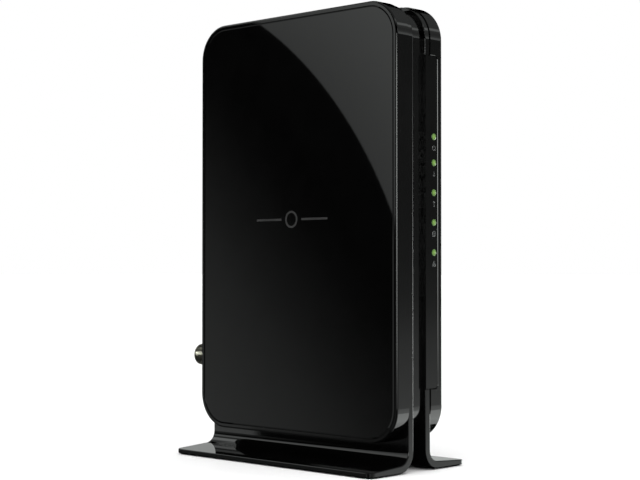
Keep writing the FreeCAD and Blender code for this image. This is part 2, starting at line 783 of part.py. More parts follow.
def ethernet_parts():
    """Network jack: plastic housing with its socket, thin metal shield and eight contacts."""
    height = f"{BASE} + ethernet_height"
    back = f"({REAR_FACE} - jack_depth)"
    side_low = f"({height} - jack_width / 2)"
    housing = new_body("ethernet_jack_housing")
    outer = rectangle(
        (BOARD_FACE, f"{side_low} + jack_skin"),
        ("jack_height - jack_skin", "jack_width - 2 * jack_skin"),
    )
    extrude(housing, "Pad", "Y", f"{back} + jack_skin", REAR_FACE, outer)
    socket_low = f"({BOARD_FACE} + 3.8)"
    socket = rectangle((socket_low, f"{height} - socket_width / 2"), ("7.1", "socket_width"))
    extrude(housing, "Pocket", "Y", f"{REAR_FACE} - socket_depth", REAR_FACE, socket)
    latch = rectangle((f"{socket_low} - 2.2", f"{height} - 3.1"), ("2.4", "6.2"))
    extrude(housing, "Pocket", "Y", f"{REAR_FACE} - 9", REAR_FACE, latch)

    corner = (BOARD_FACE, back, side_low)
    sleeve = block("shield_outside", corner, ("jack_height", "jack_depth", "jack_width"))
    inside = block(
        "shield_inside",
        (BOARD_FACE, f"{back} + jack_skin", f"{side_low} + jack_skin"),
        ("jack_height - jack_skin", "jack_depth", "jack_width - 2 * jack_skin"),
    )
    shield = combined("Cut", "ethernet_jack_shield", sleeve, inside)

    wires = []
    for lane in range(8):
        level = f"{height} + 1.02 * ({lane} - 3.5) - 0.18"
        low = (f"{socket_low} + 5.6", f"{REAR_FACE} - socket_depth", level)
        wires.append(block(f"jack_wire_{lane + 1}", low, ("0.36", "10", "0.36")))
    return [housing, shield, combined("Compound", "ethernet_jack_contacts", *wires)]


def power_button():
    """Round latching button: cap through the panel, retaining flange and square stem."""
    body = new_body("power_button")
    height = f"{BASE} + power_button_height"
    tip = f"({REAR_FACE} + button_reveal)"
    flange_rear = f"({REAR_INSIDE} - 0.3)"
    flange_front = f"({flange_rear} - 1.2)"
    extrude(body, "Pad", "Y", flange_rear, tip, circle((BUTTON_X, height), "button_radius"))
    soften(body, "Fillet", "0.6", edges_at("Y", tip))
    flange = circle((BUTTON_X, height), "button_radius + 0.9")
    extrude(body, "Pad", "Y", flange_front, flange_rear, flange)
    stem = rectangle((f"{BUTTON_X} - 1.5", f"{height} - 1.5"), ("3", "3"), "0.3")
    extrude(body, "Pad", "Y", f"{flange_front} - 7", flange_front, stem)
    return body


def power_switch_body():
    """Switch on the board, hollow where the button's stem slides in."""
    body = new_body("power_switch_body")
    height = f"{BASE} + power_button_height"
    rear = f"({REAR_INSIDE} - 6)"
    case = rectangle(
        (BOARD_FACE, f"{height} - switch_size / 2"),
        ("switch_size", "switch_size"),
        "0.4",
    )
    extrude(body, "Pad", "Y", f"{rear} - 13", rear, case)
    shaft = rectangle((f"{BUTTON_X} - 1.8", f"{height} - 1.8"), ("3.6", "3.6"), "0.4")
    extrude(body, "Pocket", "Y", f"{rear} - 6", rear, shaft)
    return body


def reset_parts():
    """Small push switch behind its pin hole, with a round plunger."""
    height = f"{BASE} + reset_height"
    rear = f"({REAR_INSIDE} - 4)"
    body = new_body("reset_switch_body")
    case = rectangle((BOARD_FACE, f"{height} - 3"), ("6", "6"), "0.3")
    extrude(body, "Pad", "Y", f"{rear} - 4", rear, case)
    extrude(body, "Pocket", "Y", f"{rear} - 1.4", rear, circle((RESET_X, height), "2"))
    plunger = new_body("reset_plunger")
    extrude(plunger, "Pad", "Y", f"{rear} - 0.8", f"{rear} + 1.6", circle((RESET_X, height), "1.7"))
    soften(plunger, "Fillet", "0.2", edges_at("Y", f"{rear} + 1.6"))
    return [body, plunger]


# ---------------------------------------------------------------- circuit board

def main_board():
    body = new_body("main_board")
    outline = rectangle(
        (BOARD_FRONT, f"{BASE} + board_low"),
        (f"{BOARD_REAR} - {BOARD_FRONT}", "board_high - board_low"),
        "1.5",
    )
    extrude(body, "Pad", "X", "0 - board_back", BOARD_FACE, outline)
    holes = [circle(spot, "board_screw_radius + 0.2") for spot in BOARD_SCREWS]
    extrude(body, "Pocket", "X", "0 - board_back", BOARD_FACE, *holes)
    return body


def board_screws():
    screws = []
    for count, (along, height) in enumerate(BOARD_SCREWS, 1):
        head = rod(f"board_head_{count}", "X", (BOARD_FACE, along, height), "1.4", "2.1")
        start = ("0 - board_back - 3.2", along, height)
        shank = rod(f"board_shank_{count}", "X", start, "board_thickness + 3.2", "board_screw_radius")
        screws.append(combined("MultiFuse", f"board_screw_{count}", head, shank))
    return combined("Compound", "board_screws", *screws)


def heat_sink():
    """Finned plate on the modem chip; the fins run upright."""
    body = new_body("heat_sink")
    low = f"({BOARD_FACE} + 2.1)"
    corner = (f"{SINK_Y} - sink_size / 2", f"{BASE} + {SINK_Z} - sink_size / 2")
    extrude(body, "Pad", "X", low, f"{low} + sink_base", rectangle(corner, ("sink_size", "sink_size")))
    fin_low = f"{low} + sink_base"
    fin = extrude(body, "Pad", "X", fin_low, f"{fin_low} + sink_fins",
                  rectangle(corner, ("fin_thickness", "sink_size")))
    repeat(body, fin, "H_Axis", "sink_size - fin_thickness", "fin_count")
    return body


def board_components():
    """Everything soldered to the board apart from the connectors and controls."""
    chips = [
        chip("modem_chip", (SINK_Y, SINK_Z), ("21", "21", "1.5")),
        chip("thermal_pad", (SINK_Y, SINK_Z), ("20", "20", "0.6"), f"{BOARD_FACE} + 1.5"),
        chip("tuner_chip", (f"{REAR} - 34", "36"), ("10", "10", "1")),
        chip("tuner_can_lid", (f"{REAR} - 34", "36"), ("30", "28", "0.4"), f"{BOARD_FACE} + 3.6"),
        chip("memory_chip", (f"{FRONT} + 28", "42"), ("11", "13", "1.1")),
        chip("flash_chip", (f"{FRONT} + 46", "40"), ("8", "6", "1")),
        chip("ethernet_transformer", (f"{REAR} - 32", "104"), ("10", "16", "5")),
        chip("clock_crystal", (f"{FRONT} + 72", "56"), ("5", "3.2", "1.2")),
    ]
    fence = chip("can_outside", (f"{REAR} - 34", "36"), ("30", "28", "3.6"))
    room = chip("can_inside", (f"{REAR} - 34", "36"), ("29.2", "27.2", "3.6"))
    can = combined("Cut", "tuner_can_frame", fence, room)

    places = ((f"{REAR} - 30", "68"), (f"{REAR} - 30", "80"), (f"{REAR} - 40", "88"))
    cans = [
        rod(f"capacitor_{count}", "X", (BOARD_FACE, along, f"{BASE} + {height}"), "11", "4")
        for count, (along, height) in enumerate(places, 1)
    ]
    capacitors = combined("Compound", "filter_capacitors", *cans)

    coils = [
        chip(f"inductor_{count}", (f"{REAR} - {14 + 10 * count}", "60"), ("7", "7", "4"))
        for count in (1, 2)
    ]
    inductors = combined("Compound", "power_inductors", *coils)

    steps = [
        chip(f"regulator_{count}", (f"{REAR} - {44 + 8 * count}", "120"), ("5", "4", "1.5"))
        for count in range(3)
    ]
    regulators = combined("Compound", "regulator_chips", *steps)

    lamps = []
    for count, height in enumerate(light_heights(), 1):
        low = (BOARD_FACE, f"{FRONT} + 9.6", f"{height} - 0.8")
        lamps.append(block(f"status_led_{count}", low, ("led_height", "1.8", "1.6")))
    leds = combined("Compound", "status_leds", *lamps)
    return chips + [can, capacitors, inductors, regulators, leds]


# ---------------------------------------------------------------- assembly and export

def build():
    make_sheet()
    nodes = [left_shell(), right_shell()]
    nodes += [side_panel("left_side_panel", -1), side_panel("right_side_panel", 1)]
    nodes += [leg_frame("left_leg_frame", -1), leg_frame("right_leg_frame", 1)]
    nodes += [center_frame(), rear_panel(), status_window(), status_light_pipes()]
    nodes += [foot_pads(), case_screws()]
    nodes += coax_parts() + power_inlet_parts() + ethernet_parts()
    nodes += [power_button(), power_switch_body()] + reset_parts()
    nodes += [main_board(), board_screws(), heat_sink()] + board_components()
    doc.recompute()
    return nodes


def check(nodes):
    """Stop if any object failed, or any sub-part has no valid solid."""
    broken = [item.Name for item in doc.Objects if {"Invalid", "Error"} & set(item.State)]
    for node in nodes:
        if node.Shape.isNull() or not node.Shape.isValid() or not node.Shape.Solids:
            broken.append(node.Name)
    if broken:
        raise ValueError("broken: " + ", ".join(broken))


def export(nodes):
    os.makedirs("parts", exist_ok=True)
    for node in nodes:
        node.Shape.exportStep(f"parts/{node.Label}.step")
        print(f"{node.Label}: {len(node.Shape.Solids)} solids, {node.Shape.Volume:.1f} mm3")


nodes = build()
check(nodes)
export(nodes)
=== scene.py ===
import math

import bmesh
import bpy
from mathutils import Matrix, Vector


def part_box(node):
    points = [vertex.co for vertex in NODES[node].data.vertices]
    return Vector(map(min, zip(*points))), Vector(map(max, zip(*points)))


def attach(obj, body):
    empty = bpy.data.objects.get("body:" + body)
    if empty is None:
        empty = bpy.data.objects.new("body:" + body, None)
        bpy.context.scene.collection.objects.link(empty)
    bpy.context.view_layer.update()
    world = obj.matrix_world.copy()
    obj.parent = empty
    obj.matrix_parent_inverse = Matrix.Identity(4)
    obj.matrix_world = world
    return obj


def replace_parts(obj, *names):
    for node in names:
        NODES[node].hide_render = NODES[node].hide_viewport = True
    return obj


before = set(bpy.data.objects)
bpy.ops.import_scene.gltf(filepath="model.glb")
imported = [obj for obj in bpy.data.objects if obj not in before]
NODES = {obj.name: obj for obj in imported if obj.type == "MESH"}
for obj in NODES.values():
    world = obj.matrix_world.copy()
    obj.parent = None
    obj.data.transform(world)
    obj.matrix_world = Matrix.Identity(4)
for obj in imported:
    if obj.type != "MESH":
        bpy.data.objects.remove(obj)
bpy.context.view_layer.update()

MM = 0.001
SCENE = bpy.context.scene
TAU = 2 * math.pi

# Sockets of a Mix node that mixes colours.
MIX_FIRST, MIX_SECOND, MIX_RESULT = 6, 7, 2


# ---------------------------------------------------------------- shader helpers

class Graph:
    """Builds one node tree: each call adds a node and returns its main output."""

    def __init__(self, tree):
        self.tree = tree
        tree.nodes.clear()

    def node(self, kind, **settings):
        made = self.tree.nodes.new(kind)
        for name, value in settings.items():
            setattr(made, name, value)
        return made

    def feed(self, socket, value):
        """Links another node's output to a socket, or sets the socket to a plain value."""
        if isinstance(value, bpy.types.NodeSocket):
            self.tree.links.new(value, socket)
        else:
            socket.default_value = value

    def math(self, operation, *values):
        made = self.node("ShaderNodeMath", operation=operation)
        for socket, value in zip(made.inputs, values):
            self.feed(socket, value)
        return made.outputs[0]

    def add(self, first, second):
        return self.math("ADD", first, second)

    def minus(self, first, second):
        return self.math("SUBTRACT", first, second)

    def times(self, first, second):
        return self.math("MULTIPLY", first, second)

    def away(self, value, middle):
        """How far a value lies from a middle, on either side."""
        return self.math("ABSOLUTE", self.minus(value, middle))

    def length(self, first, second):
        squares = [self.math("POWER", value, 2.0) for value in (first, second)]
        return self.math("SQRT", self.add(*squares))

    def blend(self, factor, first, second):
        """Goes from the first number to the second as the factor goes from 0 to 1."""
        return self.add(first, self.times(factor, self.minus(second, first)))

    def place(self):
        return self.node("ShaderNodeTexCoord").outputs["Object"]

    def axes(self, kind="Object"):
        split = self.node("ShaderNodeSeparateXYZ")
        self.feed(split.inputs[0], self.node("ShaderNodeTexCoord").outputs[kind])
        return split.outputs

    def stretched(self, scale):
        made = self.node("ShaderNodeMapping")
        self.feed(made.inputs["Vector"], self.place())
        made.inputs["Scale"].default_value = scale
        return made.outputs[0]

    def noise(self, scale, detail, vector=None):
        made = self.node("ShaderNodeTexNoise")
        self.feed(made.inputs["Vector"], vector or self.place())
        made.inputs["Scale"].default_value = scale
        made.inputs["Detail"].default_value = detail
        return made.outputs["Fac"]

    def span(self, value, low, high, start=0.3, stop=0.7):
        """Runs from low to high as the value goes from start to stop; the default suits noise."""
        made = self.node("ShaderNodeMapRange")
        for name, fed in (("Value", value), ("From Min", start), ("From Max", stop),
                          ("To Min", low), ("To Max", high)):
            self.feed(made.inputs[name], fed)
        return made.outputs[0]

    def mix(self, factor, first, second):
        made = self.node("ShaderNodeMix", data_type="RGBA")
        self.feed(made.inputs["Factor"], factor)
        self.feed(made.inputs[MIX_FIRST], first)
        self.feed(made.inputs[MIX_SECOND], second)
        return made.outputs[MIX_RESULT]

    def bump(self, height, strength, distance):
        made = self.node("ShaderNodeBump")
        made.inputs["Strength"].default_value = strength
        made.inputs["Distance"].default_value = distance
        self.feed(made.inputs["Height"], height)
        return made.outputs[0]

    def finish(self, shader):
        out = self.node("ShaderNodeOutputMaterial")
        self.feed(out.inputs["Surface"], shader)


def rgba(colour):
    return (*colour, 1.0)


def surface(name, low, high, rough, grain, bump, stretch=(1, 1, 1), extra=None, pattern=None):
    """A Principled material: two close colours, a roughness range and fine relief, all from noise."""
    made = bpy.data.materials.new(name)
    made.use_nodes = True
    g = Graph(made.node_tree)
    shader = g.node("ShaderNodeBsdfPrincipled")
    across = g.stretched(stretch)
    broad = g.noise(grain / 6, 2.0, across)
    fine = g.noise(grain, 4.0, across)
    colour = g.mix(g.span(broad, 0.0, 1.0), rgba(low), rgba(high))
    if pattern:
        colour = pattern(g, colour)
    g.feed(shader.inputs["Base Color"], colour)
    g.feed(shader.inputs["Roughness"], g.span(fine, rough[0], rough[1]))
    g.feed(shader.inputs["Normal"], g.bump(fine, *bump))
    for socket, value in (extra or {}).items():
        shader.inputs[socket].default_value = value
    g.finish(shader.outputs[0])
    return made


def board_traces(g, base):
    """Copper tracks under the solder mask: fine lines along the board, broken up by noise."""
    lines = g.node("ShaderNodeTexBrick")
    g.feed(lines.inputs["Vector"], g.stretched((0, 420, 420)))
    lines.inputs["Scale"].default_value = 1.0
    lines.inputs["Mortar Size"].default_value = 0.06
    tracks = g.mix(lines.outputs["Fac"], base, rgba((0.03, 0.2, 0.07)))
    return g.mix(g.span(g.noise(160, 2.0), 0.0, 1.0, 0.5, 0.56), base, tracks)


METAL = {"Metallic": 1.0}

# For each slot: dark and light colour, roughness range, grain, (bump strength, bump distance), then
# where needed the stretch of the grain, settings of the shader's sockets and a pattern.
FINISHES = {
    "case_gloss": ((0.0010,) * 3, (0.0016,) * 3, (0.02, 0.05), 900, (0.01, 0.00002)),
    "panel_gloss": ((0.0008,) * 3, (0.0013,) * 3, (0.008, 0.022), 700, (0.004, 0.00001)),
    "leg_gloss": ((0.0010,) * 3, (0.0016,) * 3, (0.02, 0.05), 900, (0.01, 0.00002)),
    "band_black": ((0.0010,) * 3, (0.0018,) * 3, (0.06, 0.12), 900, (0.02, 0.00002)),
    "rear_satin": ((0.009,) * 3, (0.014,) * 3, (0.36, 0.50), 2600, (0.25, 0.00006)),
    "strip_gloss": ((0.0008,) * 3, (0.0012,) * 3, (0.04, 0.07), 900, (0.01, 0.00001)),
    "foot_rubber": ((0.010,) * 3, (0.018,) * 3, (0.70, 0.88), 2400, (0.4, 0.00012)),
    "screw_steel": ((0.10,) * 3, (0.17,) * 3, (0.28, 0.45), 2200, (0.1, 0.00003), (1, 1, 1), METAL),
    "coax_nickel": ((0.30, 0.29, 0.24), (0.42, 0.40, 0.34), (0.18, 0.32), 1800,
                    (0.1, 0.00003), (1, 6, 1), METAL),
    "coax_insulator": ((0.74, 0.72, 0.66), (0.82, 0.80, 0.75), (0.35, 0.5), 1500,
                       (0.1, 0.00004), (1, 1, 1),
                       {"Subsurface Weight": 0.15, "Subsurface Scale": 0.001}),
    "contact_gold": ((0.78, 0.52, 0.18), (0.92, 0.66, 0.26), (0.16, 0.30), 2400,
                     (0.08, 0.00002), (1, 1, 1), METAL),
    "jack_plastic": ((0.014,) * 3, (0.022,) * 3, (0.40, 0.55), 2400, (0.2, 0.00005)),
    "jack_shield": ((0.52, 0.52, 0.51), (0.66, 0.66, 0.64), (0.20, 0.38), 1500, (0.1, 0.00002),
                    (6, 1, 1), METAL),
    "button_plastic": ((0.018, 0.018, 0.019), (0.026, 0.026, 0.027), (0.32, 0.45), 2400,
                       (0.2, 0.00004)),
    "board_green": ((0.006, 0.055, 0.022), (0.010, 0.080, 0.030), (0.22, 0.38), 900,
                    (0.1, 0.00003), (1, 1, 1), {"Coat Weight": 0.3}, board_traces),
    "sink_aluminium": ((0.30,) * 3, (0.42,) * 3, (0.30, 0.48), 1400, (0.15, 0.00003),
                       (1, 1, 0.1), METAL),
    "chip_black": ((0.012,) * 3, (0.022,) * 3, (0.50, 0.68), 4200, (0.3, 0.00005)),
    "pad_grey": ((0.20, 0.22, 0.26), (0.28, 0.30, 0.34), (0.6, 0.8), 2400, (0.3, 0.0001)),
    "can_aluminium": ((0.55, 0.56, 0.57), (0.70, 0.71, 0.72), (0.24, 0.40), 1300, (0.1, 0.00003),
                      (1, 1, 5), METAL),
    "coil_ferrite": ((0.05, 0.048, 0.046), (0.085, 0.08, 0.076), (0.55, 0.75), 2600,
                     (0.35, 0.00008)),
    "led_body": ((0.70, 0.69, 0.62), (0.80, 0.79, 0.72), (0.30, 0.45), 2200, (0.1, 0.00003)),
    "icon_print": ((0.055, 0.058, 0.058), (0.075, 0.078, 0.078), (0.40, 0.55), 2600,
                   (0.1, 0.00001)),
    "rear_print": ((0.26, 0.265, 0.27), (0.34, 0.345, 0.35), (0.45, 0.6), 2600, (0.1, 0.00001)),
    "mark_grey": ((0.020,) * 3, (0.030,) * 3, (0.18, 0.28), 1200, (0.05, 0.00001)),
}
MATERIALS = {name: surface(name, *values) for name, values in FINISHES.items()}


def lens_material():
    """Green light pipe lit from behind, brightest over the lamp at its middle."""
    made = bpy.data.materials.new("light_lens")
    made.use_nodes = True
    g = Graph(made.node_tree)
    shader = g.node("ShaderNodeBsdfPrincipled")
    mottle = g.noise(1500, 3.0)
    within = g.axes("Generated")
    radius = g.length(g.minus(within["X"], 0.5), g.minus(within["Z"], 0.5))
    fade = g.span(g.add(radius, g.times(mottle, 0.1)), 0.0, 1.0, 0.08, 0.5)
    tint = g.mix(mottle, rgba((0.04, 0.09, 0.02)), rgba((0.07, 0.14, 0.03)))
    glow = g.mix(fade, rgba((0.34, 0.52, 0.13)), rgba((0.05, 0.11, 0.02)))
    g.feed(shader.inputs["Base Color"], tint)
    g.feed(shader.inputs["Roughness"], g.span(mottle, 0.12, 0.26))
    g.feed(shader.inputs["Emission Color"], glow)
    shader.inputs["Emission Strength"].default_value = 0.55
    g.feed(shader.inputs["Normal"], g.bump(mottle, 0.1, 0.00003))
    g.finish(shader.outputs[0])
    return made


MATERIALS["light_lens"] = lens_material()


# ---------------------------------------------------------------- mesh helpers

def piece(name, mesh, slot_name, body="case", material=None, smooth=None):
    """Puts a finished mesh (in millimetres) into the scene as a piece that rides on a body.

    smooth is the angle in degrees above which an edge stays sharp; without it the faces stay flat.
    """
    for vertex in mesh.verts:
        vertex.co *= MM
    bmesh.ops.recalc_face_normals(mesh, faces=mesh.faces)
    data = bpy.data.meshes.new(name)
    mesh.to_mesh(data)
    mesh.free()
    made = bpy.data.objects.new(name, data)
    SCENE.collection.objects.link(made)
    data.materials.append(MATERIALS[material or slot_name])
    if smooth:
        data.shade_smooth()
        data.set_sharp_from_angle(angle=math.radians(smooth))
    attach(made, body)
    return made


def skin(mesh, rings, closed=True):
    """Joins rings of equal length with quads; a closed skin also joins the last ring to the first."""
    rows = [[mesh.verts.new(point) for point in ring] for ring in rings]
    pairs = list(zip(rows, rows[1:]))
    if closed:
        pairs.append((rows[-1], rows[0]))
    for first, second in pairs:
        count = len(first)
        for i in range(count):
            j = (i + 1) % count
            mesh.faces.new((first[i], first[j], second[j], second[i]))
    return rows


def ring_points(centre, radius, y, count):
    """Points round an axis along Y through centre (x, z). Radius may be a function of the angle."""
    x, z = centre
    points = []
    for i in range(count):
        angle = TAU * i / count
        r = radius(angle) if callable(radius) else radius
        points.append((x + r * math.cos(angle), y, z + r * math.sin(angle)))
    return points


def turned(mesh, centre, profile, count):
    """Revolves a closed profile of (radius, y) pairs."""
    skin(mesh, [ring_points(centre, radius, y, count) for radius, y in profile])


def turned_cap(mesh, centre, profile, count=32):
    """Revolves an open profile and closes it by a centre point at each end."""
    rows = skin(mesh, [ring_points(centre, radius, y, count) for radius, y in profile], closed=False)
    for row, y in ((rows[0], profile[0][1]), (rows[-1], profile[-1][1])):
        hub = mesh.verts.new((centre[0], y, centre[1]))
        for i in range(count):
            mesh.faces.new((row[i], row[(i + 1) % count], hub))


def box_mm(node):
    low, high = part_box(node)
    return low / MM, high / MM


def clean_copy(name, node, slot_name):
    """Stands in for a CAD piece whose round tips carry empty faces at their poles."""
    merge = 0.002
    mesh = bmesh.new()
    mesh.from_mesh(NODES[node].data)
    mesh.transform(NODES[node].matrix_world)
    for vertex in mesh.verts:
        vertex.co /= MM
    bmesh.ops.remove_doubles(mesh, verts=mesh.verts, dist=merge)
    bmesh.ops.dissolve_degenerate(mesh, edges=mesh.edges, dist=merge)
    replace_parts(piece(name, mesh, slot_name, smooth=35), node)


# ---------------------------------------------------------------- coaxial connector

def coax_barrel(axis, nut_back, nut_front):
    """The block inside the case and the barrel, with its rolled thread ahead of the nut."""
    low, high = box_mm("coax_body")
    outer, neck, bore = 4.75, 4.5, 3.3
    pitch, depth, steps_per_turn = 25.4 / 32, 0.36, 8
    chamfer, lip, step = 0.5, 0.15, 0.02
    behind_nut, before_thread, block_edge = 2.9, 0.4, 0.4
    barrel_back = nut_back - behind_nut
    thread_start, thread_end = nut_front + before_thread, high.y - chamfer

    def threaded(y):
        fade = min(1.0, (y - thread_start) / pitch, (thread_end - y) / pitch)

        def radius(angle):
            phase = (y / pitch - angle / TAU) % 1.0
            dip = min(max(1.5 - 2 * abs(2 * phase - 1), 0.0), 1.0)
            return outer - depth * max(fade, 0.0) * dip
        return radius

    steps = round((thread_end - thread_start) / pitch * steps_per_turn)
    profile = [(bore, barrel_back), (neck, barrel_back), (neck, thread_start - step),
               (outer, thread_start)]
    profile += [(threaded(y), y) for y in
                (thread_start + (thread_end - thread_start) * i / steps for i in range(1, steps))]
    profile += [(outer, thread_end), (outer - chamfer, high.y), (bore + lip, high.y),
                (bore, high.y - lip)]
    mesh = bmesh.new()
    turned(mesh, axis, profile, count=64)
    block = bmesh.ops.create_cube(mesh, size=1.0)["verts"]
    for v in block:
        v.co = Vector(((low.x + high.x) / 2 + v.co.x * (high.x - low.x),
                       (low.y + barrel_back) / 2 + v.co.y * (barrel_back - low.y),
                       axis[1] + v.co.z * (high.z - low.z)))
    edges = [e for e in mesh.edges if all(v in block for v in e.verts)]
    bmesh.ops.bevel(mesh, geom=edges, offset=block_edge, segments=2, affect="EDGES")
    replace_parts(piece("coax_thread", mesh, "coax_nickel", smooth=40), "coax_body")


def coax_nut(axis, low, high):
    """Hexagon nut with its outer corners turned off towards the plug's side."""
    half_across_flats = (high.z - low.z) / 2

    def hexagon(limit):
        def radius(angle):
            to_flat = angle % (math.pi / 3) - math.pi / 6
            return min(half_across_flats / math.cos(to_flat), limit)
        return radius

    bore, mouth, corner, flat = 4.78, 5.1, 6.35, 5.55
    rounding_starts, rounding_middle, countersink = 0.45, 0.22, 0.3
    profile = [(bore, low.y), (hexagon(corner), low.y), (hexagon(corner), high.y - rounding_starts),
               (hexagon((corner + flat) / 2), high.y - rounding_middle), (hexagon(flat), high.y),
               (mouth, high.y), (bore, high.y - countersink)]
    mesh = bmesh.new()
    turned(mesh, axis, profile, count=96)
    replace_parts(piece("coax_nut", mesh, "coax_nickel", smooth=25), "coax_hex_nut")


def coax_washer(axis):
    """Lock washer with teeth round its rim, each a little twisted through the thickness."""
    low, high = box_mm("coax_lock_washer")
    bore, root, tooth, teeth, steepness, twisted = 4.82, 5.3, 0.75, 16, 5, 0.8

    def toothed(twist):
        def radius(angle):
            wave = math.tanh(steepness * math.sin(teeth * angle + twist))
            return root + tooth * (0.5 + 0.5 * wave)
        return radius

    mesh = bmesh.new()
    turned(mesh, axis, [(bore, low.y), (toothed(0.0), low.y), (toothed(twisted), high.y),
                        (bore, high.y)], count=192)
    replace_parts(piece("coax_star_washer", mesh, "coax_nickel", smooth=30), "coax_lock_washer")


def coax_pieces():
    """Barrel, nut and washer on the nut's axis."""
    nut_low, nut_high = box_mm("coax_hex_nut")
    axis = ((nut_low.x + nut_high.x) / 2, (nut_low.z + nut_high.z) / 2)
    coax_barrel(axis, nut_low.y, nut_high.y)
    coax_nut(axis, nut_low, nut_high)
    coax_washer(axis)


# ---------------------------------------------------------------- status strip

def ribbon(mesh, points, width, face, back, closed=False):
    """A thin raised stroke along (x, z) points, lying between the planes y=face and y=back."""
    count = len(points)
    rows = []
    for i, (x, z) in enumerate(points):
        before = points[(i - 1) % count] if closed or i else points[0]
        after = points[(i + 1) % count] if closed or i < count - 1 else points[-1]
        along = Vector((after[0] - before[0], after[1] - before[1])).normalized()
        side = Vector((-along.y, along.x)) * width / 2
        rows.append([(x + side.x, face, z + side.y), (x - side.x, face, z - side.y),
                     (x - side.x, back, z - side.y), (x + side.x, back, z + side.y)])
    made = skin(mesh, rows, closed)
    if not closed:
        mesh.faces.new(made[0])
        mesh.faces.new(list(reversed(made[-1])))


def arc(x, z, radius, start=0.0, stop=360.0, count=24):
    return [(x + radius * math.cos(math.radians(start + (stop - start) * i / count)),
             z + radius * math.sin(math.radians(start + (stop - start) * i / count)))
            for i in range(count + (0 if stop - start == 360 else 1))]


def power_icon(x, z, s):
    return [(arc(x, z, s * 0.8, 125, 415), False), ([(x, z + s * 0.15), (x, z + s)], False)]


def arrow_icon(x, z, s, way):
    tip = z + way * s
    barb = tip - way * s * 0.6
    return [([(x, z - way * s), (x, tip)], False),
            ([(x - s * 0.6, barb), (x, tip), (x + s * 0.6, barb)], False)]


def down_icon(x, z, s):
    return arrow_icon(x, z, s, -1)


def up_icon(x, z, s):
    return arrow_icon(x, z, s, 1)


def globe_icon(x, z, s):
    return [(arc(x, z, s * 0.9), True), ([(x - s * 0.9, z), (x + s * 0.9, z)], False),
            ([(x, z - s * 0.9), (x, z + s * 0.9)], False)]


def square(x, z, s):
    return [(x - s, z - s), (x + s, z - s), (x + s, z + s), (x - s, z + s)]


def linked_icon(x, z, s):
    arm, half = s * 0.6, s * 0.32
    return [(square(x, z + arm, half), True), (square(x - arm, z - arm, half), True),
            (square(x + arm, z - arm, half), True), ([(x, z + s * 0.2), (x, z)], False),
            ([(x - arm, z - s * 0.25), (x - arm, z), (x + arm, z), (x + arm, z - s * 0.25)], False)]


def rings_icon(*radii):
    """Makes an icon of plain rings; each radius is a part of the icon's size."""
    def icon(x, z, s):
        return [(arc(x, z, s * radius), True) for radius in radii]
    return icon


# Heights are above the table, as everywhere in this script.
PIPE_RADIUS = 1.35
LENS_RADIUS = 1.3
LIGHT_X = box_mm("status_light_pipes")[1].x - PIPE_RADIUS
LIGHT_HEIGHTS = (135.6, 125.0, 112.8, 100.6, 88.4)
SYMBOL_DROP = 4.6


def status_strip_pieces():
    """A domed lens over each light pipe and a small printed symbol below each."""
    face = box_mm("status_window")[0].y
    rise, rim_depth, slices = 0.085, 0.3, 8
    for count, height in enumerate(LIGHT_HEIGHTS, 1):
        mesh = bmesh.new()
        dome = [(LENS_RADIUS, face + rim_depth), (LENS_RADIUS, face)]
        dome += [(LENS_RADIUS * math.cos(t * math.pi / 2 / slices),
                  face - rise * math.sin(t * math.pi / 2 / slices)) for t in range(1, slices)]
        turned_cap(mesh, (LIGHT_X, height), dome)
        piece(f"light_lens_{count}", mesh, "light_lens", smooth=60)
    symbols = (power_icon, down_icon, up_icon, globe_icon, linked_icon)
    size, stroke, proud, sunk = 1.15, 0.26, 0.03, 0.02
    for count, (height, symbol) in enumerate(zip(LIGHT_HEIGHTS, symbols), 1):
        mesh = bmesh.new()
        for points, closed in symbol(LIGHT_X, height - SYMBOL_DROP, size):
            ribbon(mesh, points, stroke, face - proud, face + sunk, closed)
        piece(f"light_symbol_{count}", mesh, "strip_gloss", material="icon_print")


# ---------------------------------------------------------------- marks on the case

def panel_mark():
    """A plain ring between two bars, slightly raised on the side panel."""
    face = box_mm("left_side_panel")[0].x
    middle_y, middle_z, stroke, depth = -6.9, 102.7, 0.9, 0.05
    ring, bar_start, bar_end = 3.2, 6.0, 21.0
    mesh = bmesh.new()
    shapes = [(arc(middle_y, middle_z, ring, count=48), True)]
    shapes += [([(middle_y + way * bar_start, middle_z), (middle_y + way * bar_end, middle_z)],
                False) for way in (-1, 1)]
    for points, closed in shapes:
        ribbon(mesh, points, stroke, face - depth, face + depth, closed)
    for vertex in mesh.verts:
        vertex.co = Vector((vertex.co.y, vertex.co.x, vertex.co.z))
    piece("panel_mark", mesh, "panel_gloss", material="mark_grey")


def rear_symbols():
    """Small raised symbols beside the sockets on the rear panel."""
    face = box_mm("rear_panel")[1].y
    column_x, size, stroke, depth = 7.1, 1.4, 0.3, 0.1
    places = (("power", power_icon, 145.5), ("network", linked_icon, 128.0),
              ("reset", rings_icon(0.8), 93.5), ("supply", rings_icon(0.9, 0.3), 81.0),
              ("cable", rings_icon(1.0, 0.45), 54.0))
    for name, symbol, height in places:
        mesh = bmesh.new()
        for points, closed in symbol(column_x, height, size):
            ribbon(mesh, points, stroke, face + depth, face - depth, closed)
        piece(f"rear_symbol_{name}", mesh, "rear_satin", material="rear_print")


def button_symbol():
    """The power symbol on the end of the button; it moves with the button."""
    low, high = box_mm("power_button")
    size, stroke, proud, sunk = 1.7, 0.35, 0.06, 0.1
    mesh = bmesh.new()
    for points, closed in power_icon((low.x + high.x) / 2, (low.z + high.z) / 2, size):
        ribbon(mesh, points, stroke, high.y + proud, high.y - sunk, closed)
    piece("button_symbol", mesh, "button_plastic", "power_key", "rear_print")


# ---------------------------------------------------------------- studio

